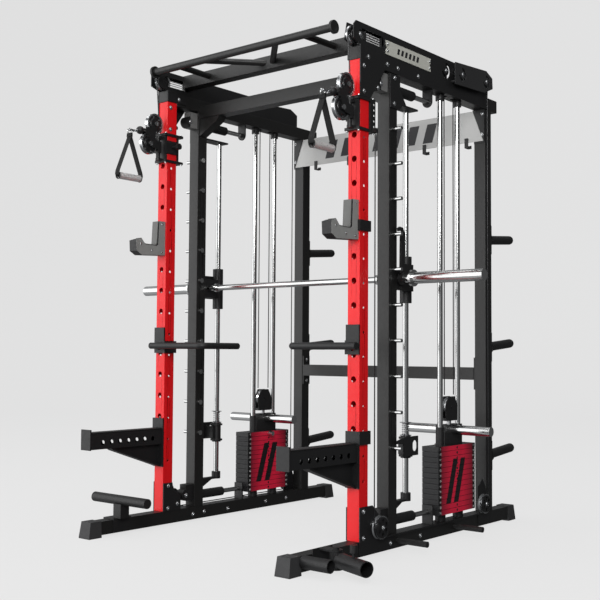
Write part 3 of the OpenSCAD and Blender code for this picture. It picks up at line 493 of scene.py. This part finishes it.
STACK_Y = 0.284                                     # middle of the stacks, from front to back
HORN_R, HORN_START = 0.0225, 0.0245                 # reach round a horn's axis, and where it starts
STEM_R, STEM_FOOT, STEM_TOP = 0.0125, 0.4995, 0.5205    # stem that stands on the stack head
LINK_Y = -0.622                                     # the handle's link is in front of this
AXLES = ((-0.514, 1.912), (-0.549, 1.812))          # (y, z) of the two pulley axles in a swivel arm
AXLE_R, AXLE_START = 0.011, 0.018                   # reach round an axle, and where its heads start
STUD = 4.9 * MM                                     # height of the studs at a trolley's two ends
for side in LR:
    zone(f"{side}_stack_head", chrome,
         lambda c: math.hypot(c.y - STACK_Y, c.z - HORN_Z) < HORN_R and off_side(c) > HORN_START)
    zone(f"{side}_stack_head", steel,
         lambda c: math.hypot(c.y - STACK_Y, abs(c.x) - SIDE_X) < STEM_R
         and STEM_FOOT < c.z < STEM_TOP)
    zone(f"{side}_swivel_arm", steel, lambda c: c.y < LINK_Y)
    for y, z in AXLES:
        zone(f"{side}_swivel_arm", steel,
             lambda c: math.hypot(c.y - y, c.z - z) < AXLE_R and off_side(c) > AXLE_START)
    low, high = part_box(f"{side}_trolley")
    zone(f"{side}_trolley", steel, lambda c: c.z > high.z - STUD or c.z < low.z + STUD)


# ---------------------------------------------------------------- bolts

WASHER = 1.3             # a washer's radius over its bolt head's


def bolt(bm, radius, height, place):
    """Button head on a washer, with a hexagon socket."""
    steps = 24
    washer = [(radius * WASHER, 0), (radius * WASHER, 1.1 * MM), (radius * 1.2, 1.5 * MM),
              (radius, 1.5 * MM)]
    dome = [(radius * math.cos(a), 1.8 * MM + (height - 1.8 * MM) * math.sin(a))
            for a in (math.radians(d) for d in (0, 20, 40, 55))]
    rings = lathe(bm, washer + dome, place, steps)
    socket = []
    for depth in (height - 0.1 * MM, height - 2.6 * MM):
        points = []
        for k in range(steps):
            t = math.tau * k / steps
            reach = 0.36 * radius / math.cos((t % (math.pi / 3)) - math.pi / 6)
            points.append(place @ Vector((reach * math.cos(t), reach * math.sin(t), depth)))
        socket.append(ring_of(bm, points))
    bridge(bm, rings[-1], socket[0])
    bridge(bm, socket[0], socket[1])
    bm.faces.new(socket[1])
    bm.faces.new(rings[0][::-1])


def islands(mesh):
    """Lists of the points of each loose part of a mesh, joined where points coincide."""
    key = {v.index: tuple(round(c, 6) for c in v.co) for v in mesh.vertices}
    parent = {k: k for k in key.values()}

    def root(k):
        while parent[k] != k:
            parent[k] = parent[parent[k]]
            k = parent[k]
        return k

    for face in mesh.polygons:
        corners = [key[i] for i in face.vertices]
        for other in corners[1:]:
            parent[root(other)] = root(corners[0])
    groups = {}
    for k in parent:
        groups.setdefault(root(k), []).append(Vector(k))
    return list(groups.values())


def bolts():
    """A detailed head for each plain one, standing the same way, with the wider end as its foot."""
    bm = bmesh.new()
    for points in islands(nodes["frame_bolts"].data):
        low = Vector([min(p[i] for p in points) for i in range(3)])
        high = Vector([max(p[i] for p in points) for i in range(3)])
        size, middle = high - low, (low + high) / 2
        axis = min(range(3), key=lambda i: size[i])
        across = [i for i in range(3) if i != axis]
        reach = {}
        for end in (low[axis], high[axis]):
            face = [p for p in points if abs(p[axis] - end) < 1e-5]
            reach[end] = max(Vector([p[i] - middle[i] for i in across]).length for p in face)
        base = max(reach, key=reach.get)
        wide = max(size[i] for i in across) / 2
        if abs(reach[low[axis]] - reach[high[axis]]) < 0.2 * MM:
            base, wide = low[axis], wide * WASHER
        foot = middle.copy()
        foot[axis] = base
        out = [0, 0, 0]
        out[axis] = 1 if base == low[axis] else -1
        bolt(bm, wide / WASHER, size[axis], along(out, foot))
    made = piece("bolt_heads", bm, steel, "frame")
    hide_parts("frame_bolts")


bolts()


# ---------------------------------------------------------------- springs

def helix(bm, place, radius, wire, height, turns, steps=20, around=8):
    """Coil with closed end turns."""
    path = []
    count = int(turns * steps)
    for k in range(count + 1):
        t = math.tau * k / steps
        if k <= steps:
            z = wire + wire * k / steps
        elif k >= count - steps:
            z = height - wire - wire * (count - k) / steps
        else:
            z = 2 * wire + (height - 4 * wire) * (k - steps) / (count - 2 * steps)
        path.append(Vector((radius * math.cos(t), radius * math.sin(t), z)))
    rings = []
    for i, p in enumerate(path):
        ahead = (path[min(i + 1, count)] - path[max(i - 1, 0)]).normalized()
        out = Vector((p.x, p.y, 0)).normalized()
        up = ahead.cross(out)
        ring = [p + wire * (out * math.cos(math.tau * j / around) + up * math.sin(math.tau * j / around))
                for j in range(around)]
        rings.append(ring_of(bm, [place @ q for q in ring]))
    for a, b in zip(rings, rings[1:]):
        bridge(bm, a, b)
    bm.faces.new(rings[0][::-1])
    bm.faces.new(rings[-1])


SPRING_TURNS, WASHER_HOLE_R = 7, 13 * MM
for side in LR:
    low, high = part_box(f"{side}_stop_spring")
    middle, height = (low + high) / 2, high.z - low.z
    outer = (high.x - low.x) / 2
    wire, plate = 1.5 * MM, 2 * MM
    bm = bmesh.new()
    foot = Vector((middle.x, middle.y, low.z))
    helix(bm, along((0, 0, 1), foot + Vector((0, 0, plate))), outer - 2 * wire, wire, height - 2 * plate,
          SPRING_TURNS)
    for z in (0, height - plate):
        washer = [(WASHER_HOLE_R, 0), (outer + 7 * MM, 0), (outer + 7 * MM, plate), (WASHER_HOLE_R, plate)]
        closed_lathe(bm, washer, along((0, 0, 1), foot + Vector((0, 0, z))))
    spring = piece(f"{side}_coil_spring", bm, spring_wire, f"{side}_safety_stop")
    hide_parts(f"{side}_stop_spring")


# ---------------------------------------------------------------- weight stack labels

ROWS = 12                # plates in a stack, under the head plate
STACK_HALF = 43 * MM     # half a stack's width
stack_low, stack_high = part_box("weight_plates")
row_gap = 1 * MM
row_pitch = (stack_high.z - stack_low.z + row_gap) / ROWS
row_height = row_pitch - row_gap
label = label_print()
stack_y = (stack_low.y + stack_high.y) / 2
label_half = (stack_high.y - stack_low.y) / 2 - 4 * MM
head_top = stack_high.z + row_gap + 22 * MM


def strip(bm, x, out, z0, z1, hole_r):
    """Thin label on one plate's face, with a round hole in its middle."""
    steps, thick = 32, 0.5 * MM
    mid_z, half_z = (z0 + z1) / 2, (z1 - z0) / 2
    layers = []
    for level in (0, thick):
        inner, outer = [], []
        for k in range(steps):
            t = math.tau * (k + 0.5) / steps
            c, s = math.cos(t), math.sin(t)
            reach = half_z / max(abs(s), 1e-9)
            corner = abs(c) * reach > abs(s) * reach and abs(t % math.pi - math.pi / 2) > 0.5
            y = math.copysign(label_half, c) if corner else c * reach
            inner.append(Vector((x + out * level, stack_y + hole_r * c, mid_z + hole_r * s)))
            outer.append(Vector((x + out * level, stack_y + y, mid_z + math.copysign(half_z, s))))
        layers.append((ring_of(bm, inner), ring_of(bm, outer)))
    (in0, out0), (in1, out1) = layers
    bridge(bm, in0, out0)
    bridge(bm, in1, out1)
    bridge(bm, in0, in1)
    bridge(bm, out0, out1)


def numeral(bm, text, at, right, size):
    """Adds a number's flat outline, standing up from a face whose right-hand direction is given."""
    curve = bpy.data.curves.new("numeral", "FONT")
    curve.body, curve.size, curve.extrude = text, size, 0.15 * MM
    curve.align_x, curve.align_y = "CENTER", "CENTER"
    obj = bpy.data.objects.new("numeral", curve)
    bpy.context.scene.collection.objects.link(obj)
    mesh = bpy.data.meshes.new_from_object(obj)
    up = Vector((0, 0, 1))
    turn = Matrix((right, up, right.cross(up))).transposed().to_4x4()
    mesh.transform(Matrix.Translation(at) @ turn)
    bm.from_mesh(mesh)
    bpy.data.objects.remove(obj)
    bpy.data.curves.remove(curve)
    bpy.data.meshes.remove(mesh)


def label_row(labels, digits, x, out, k):
    """One plate's label and its two numbers, which fall by 5 from the lowest plate to the head."""
    z0 = stack_low.z + k * row_pitch + 0.3 * MM
    top = head_top if k == ROWS else z0 - 0.3 * MM + row_height
    strip(labels, x, out, z0, top - 0.3 * MM, 6 * MM)
    weight = str(5 * (ROWS - k + 1))
    right = Vector((0, out, 0))
    for end in (-1, 1):
        at = Vector((x + out * 0.6 * MM, stack_y + end * (label_half - 12 * MM), (z0 + top) / 2))
        numeral(digits, weight, at, right, 12.5 * MM)


for side, sign in SIDES:
    middle_x = sign * (stack_high.x - STACK_HALF)
    for face, out in (("outer", sign), ("inner", -sign)):
        x = middle_x + out * STACK_HALF
        labels, digits = bmesh.new(), bmesh.new()
        for k in range(ROWS):
            label_row(labels, digits, x, out, k)
        piece(f"{side}_{face}_labels", labels, label, "frame", smooth=False)
        piece(f"{side}_{face}_numbers", digits, ink, "frame", smooth=False)
        labels, digits = bmesh.new(), bmesh.new()
        label_row(labels, digits, x, out, ROWS)
        piece(f"{side}_{face}_head_label", labels, label, f"{side}_stack_head", smooth=False)
        piece(f"{side}_{face}_head_number", digits, ink, f"{side}_stack_head", smooth=False)


# ---------------------------------------------------------------- handles

STRAP_W, STRAP_T = 30 * MM, 2.6 * MM
STRAP_LAP = 0.75         # distance of a strap's middle from what it lies on, in strap thicknesses


def handle(side):
    low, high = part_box(f"{side}_handle")
    body = f"{side}_handle"
    middle = (low + high) / 2
    ring_r, wire, grip_r = 13 * MM, 2.6 * MM, 16 * MM
    ring_at = Vector((middle.x, middle.y, high.z - ring_r - wire))
    grip_at = Vector((middle.x, middle.y, low.z + 20 * MM))
    half = (high.y - low.y) / 2

    bm = bmesh.new()
    steps = 40
    rings = []
    for k in range(steps):
        t = math.tau * k / steps
        out = Vector((0, math.cos(t), math.sin(t)))
        rings.append(ring_of(bm, [ring_at + out * (ring_r + wire * math.cos(a)) + X_AXIS * wire * math.sin(a)
                                  for a in (math.tau * j / 12 for j in range(12))]))
    for k in range(steps):
        bridge(bm, rings[k], rings[(k + 1) % steps])
    piece(f"{side}_handle_ring", bm, chrome, body)

    top = ring_at - UP * (ring_r - wire)
    neck = ring_at - UP * (ring_r + 14 * MM)
    bm = bmesh.new()
    section = rounded_section(STRAP_W, STRAP_T, 1.1 * MM, 3)
    for d in (-1, 1):
        out = Vector((0, d, 0))
        points = [grip_at + out * (half - 34 * MM), grip_at + out * (half - 2 * MM),
                  grip_at + out * (half - 3 * MM) + UP * 20 * MM, neck + out * STRAP_T * STRAP_LAP,
                  top + out * STRAP_T * STRAP_LAP - UP * 2 * MM]
        sweep(bm, smooth_path(points, 14 * MM), section, X_AXIS)
    loop_r = wire + STRAP_T * STRAP_LAP
    loop = [ring_at + UP * -ring_r + Vector((0, loop_r * math.cos(a), loop_r * math.sin(a)))
            for a in (math.radians(d) for d in range(0, 181, 15))]
    path = [neck + Vector((0, wire + STRAP_T, 0))] + loop + [neck - Vector((0, wire + STRAP_T, 0))]
    sweep(bm, path, section, X_AXIS)
    piece(f"{side}_handle_strap", bm, webbing_look, body)

    bm = bmesh.new()
    tube = half - 9 * MM
    inner = 13.4 * MM
    wall = [(grip_r - 1 * MM, -tube), (grip_r, -tube + 1 * MM), (grip_r, tube - 1 * MM),
            (grip_r - 1 * MM, tube), (inner, tube), (inner, -tube)]
    closed_lathe(bm, wall, along((0, 1, 0), grip_at), 48)
    knurl = knurled(Vector((abs(grip_at.x), 0, grip_at.z)))
    grip = piece(f"{side}_handle_grip", bm, knurl, body)

    bm = bmesh.new()
    bush = [(inner, -4 * MM), (inner, 0), (grip_r + 0.4 * MM, 0), (grip_r + 1.6 * MM, 1.5 * MM),
            (grip_r + 0.4 * MM, 3.5 * MM), (inner - 1 * MM, 3.5 * MM), (inner - 1 * MM, -4 * MM)]
    for d in (-1, 1):
        closed_lathe(bm, bush, along((0, d, 0), grip_at + Vector((0, d * tube, 0))), 48)
    piece(f"{side}_handle_bushes", bm, sleeve_rubber, body)
    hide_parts(f"{side}_handle")


webbing_look = webbing()
for side in LR:
    handle(side)


# ---------------------------------------------------------------- liners and pads

HOOK_RIVETS = ((-19, 14), (-22, -120), (-86, -115), (-152, -90))
HOOK_CRADLE = ((-38, 27), (-44, -84), (-56, -92), (-124, -91), (-150, -64))
HOOK_OUTLINE = ((-1, 28), (-38, 28), (-44, -84), (-56, -92), (-124, -91), (-150, -64), (-181, -74),
                (-178, -124), (-146, -141), (-1, -133))
HOOK_HALF = 24 * MM      # half a bar hook's width
HOOK_INSET, HOOK_PROUD = 6 * MM, 0.8 * MM


def on_hook(x, y, z):
    """A point of a bar hook, from millimetres behind the upright's front face and above the pin."""
    return Vector((x, FRONT_Y + y * MM, HOOK_PIN_Z + z * MM))


def hook_liner(side, sign):
    """Wear liner that follows the cradle of a bar hook."""
    proud = 3 * MM
    path = [on_hook(sign * SIDE_X, y, z) for y, z in HOOK_CRADLE]
    shifts = [(0, -proud, 0), (0, -proud, proud), (0, 0, proud), (0, 0, proud), (0, proud, proud * 0.6)]
    moved = [point + Vector(shift) for point, shift in zip(path, shifts)]
    bm = bmesh.new()
    sweep(bm, smooth_path(moved, 10 * MM), rounded_section(38 * MM, 6 * MM, 1.5 * MM), X_AXIS)
    piece(f"{side}_hook_liner", bm, liner, f"{side}_j_hook")


def hook_sides(side, sign):
    """Grey plates on both flat sides of a bar hook, inset so that its dark edge shows as an outline."""
    bm = bmesh.new()
    for out in (-1, 1):
        x = sign * SIDE_X + out * HOOK_HALF
        face = bm.faces.new(ring_of(bm, [on_hook(x, y, z) for y, z in HOOK_OUTLINE]))
        rim = bmesh.ops.inset_region(bm, faces=[face], thickness=HOOK_INSET, use_boundary=True,
                                     use_even_offset=True)["faces"]
        bmesh.ops.delete(bm, geom=rim, context="FACES")
        made = bmesh.ops.extrude_face_region(bm, geom=[face])["geom"]
        moved = [v for v in made if isinstance(v, bmesh.types.BMVert)]
        bmesh.ops.translate(bm, verts=moved, vec=(out * HOOK_PROUD, 0, 0))
    piece(f"{side}_hook_sides", bm, hook_grey, f"{side}_j_hook", smooth=False)


def hook_rivets(side, sign):
    """Small button heads on both flat sides of a bar hook."""
    bm = bmesh.new()
    for out in (-1, 1):
        for y, z in HOOK_RIVETS:
            at = on_hook(sign * SIDE_X + out * (HOOK_HALF + HOOK_PROUD), y, z)
            bolt(bm, 4 * MM, 3 * MM, along((out, 0, 0), at))
    piece(f"{side}_hook_rivets", bm, steel, f"{side}_j_hook")


ARM_HALF = 0.040         # half a safety arm's height
PAD_HALF = 3.5 * MM      # half the thickness of the pad on it


def arm_pad(side, sign):
    """Strip with rounded edges along the top of a safety arm."""
    tip_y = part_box(f"{side}_safety_arm")[0].y
    z = ARM_PIN_Z + ARM_HALF + PAD_HALF
    start = Vector((sign * SIDE_X, tip_y + 8 * MM, z))
    end = Vector((sign * SIDE_X, FRONT_Y - 12 * MM, z))
    bm = bmesh.new()
    sweep(bm, [start, end], rounded_section(50 * MM, 7 * MM, 3.2 * MM), X_AXIS)
    piece(f"{side}_arm_pad", bm, sleeve_rubber, f"{side}_safety_arm")


for side, sign in SIDES:
    hook_liner(side, sign)
    hook_sides(side, sign)
    hook_rivets(side, sign)
    arm_pad(side, sign)


# ---------------------------------------------------------------- stage, lights and camera

def stage_dish():
    """Round pale floor that curves up to a wall all round, lit from within so that it stays even."""
    bm = bmesh.new()
    floor_r, bend, wall, steps = 9.0, 3.0, 7.0, 12
    profile = [(0.01, 0), (3, 0), (floor_r, 0)]
    for k in range(1, steps + 1):
        a = math.radians(90 * k / steps)
        profile.append((floor_r + bend * math.sin(a), bend * (1 - math.cos(a))))
    profile.append((floor_r + bend, wall))
    rings = lathe(bm, profile, Matrix.Identity(4), 96)
    bm.faces.new(rings[0][::-1])
    mesh = bpy.data.meshes.new("studio_floor")
    bm.to_mesh(mesh)
    bm.free()
    mesh.shade_smooth()
    look = Look("studio_floor", (0.10, 0.10, 0.10), 0.9, Emission_Color=(1, 1, 1, 1),
                Emission_Strength=0.71, Specular_IOR_Level=0.0)
    look.set("Base Color", look.tint(look.noise(1.5, 2), 0.01))
    mesh.materials.append(look.mat)
    obj = bpy.data.objects.new("studio_floor", mesh)
    obj.visible_diffuse = obj.visible_glossy = False
    bpy.context.scene.collection.objects.link(obj)
    obj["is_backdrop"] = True


def softbox(name, at, target, size, power):
    lamp = bpy.data.lights.new(name, "AREA")
    lamp.shape, lamp.size, lamp.energy = "DISK", size, power
    obj = bpy.data.objects.new(name, lamp)
    obj.location = at
    obj.rotation_mode = "QUATERNION"
    obj.rotation_quaternion = (Vector(target) - Vector(at)).to_track_quat("-Z", "Y")
    bpy.context.scene.collection.objects.link(obj)


stage_dish()
softbox("left_front_light", (-5.0, -6.0, 2.6), (0, 0, 1.1), 9.0, 300)
softbox("camera_fill", (4.5, -5.5, 3.6), (0, 0, 1.1), 3.0, 260)
softbox("top_light", (0, -0.5, 6.5), (0, 0, 0), 5, 130)


def studio_world(toward, low, high):
    """Surroundings whose strength rises from low to high as the direction turns toward the given one."""
    world = bpy.data.worlds.new("studio_world")
    bpy.context.scene.world = world
    world.use_nodes = True
    tree = world.node_tree
    background = tree.nodes["Background"]
    background.inputs["Color"].default_value = (0.97, 0.98, 1.0, 1)
    coords = tree.nodes.new("ShaderNodeTexCoord")
    facing = tree.nodes.new("ShaderNodeVectorMath")
    facing.operation = "DOT_PRODUCT"
    facing.inputs[1].default_value = Vector(toward).normalized()
    ramp = tree.nodes.new("ShaderNodeMapRange")
    ramp.inputs[1].default_value, ramp.inputs[2].default_value = -0.6, 1.0
    ramp.inputs[3].default_value, ramp.inputs[4].default_value = low, high
    tree.links.new(coords.outputs["Generated"], facing.inputs[0])
    tree.links.new(facing.outputs["Value"], ramp.inputs[0])
    tree.links.new(ramp.outputs[0], background.inputs["Strength"])


studio_world((-0.64, -0.77, 0.25), 0.09, 0.62)

# The camera's place and turn, fitted to the straight tubes and the feet in the photograph.
CAMERA_AT, LENS = (2.984, -3.7164, 0.8298), 59.94
HEADING, PITCH, ROLL = math.radians(39.56), math.radians(2.95), math.radians(0.35)

camera_data = bpy.data.cameras.new("camera")
camera_data.lens, camera_data.sensor_width = LENS, 36
camera_data.clip_end = 60
camera = bpy.data.objects.new("camera", camera_data)
bpy.context.scene.collection.objects.link(camera)
bpy.context.scene.camera = camera
forward = Vector((-math.sin(HEADING) * math.cos(PITCH), math.cos(HEADING) * math.cos(PITCH),
                  math.sin(PITCH)))
camera.location = CAMERA_AT
camera.rotation_mode = "QUATERNION"
camera.rotation_quaternion = forward.to_track_quat("-Z", "Y") @ Quaternion((0, 0, 1), ROLL)

view = bpy.context.scene.view_settings
view.view_transform, view.look, view.exposure = "Standard", "None", 0.0

low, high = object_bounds()
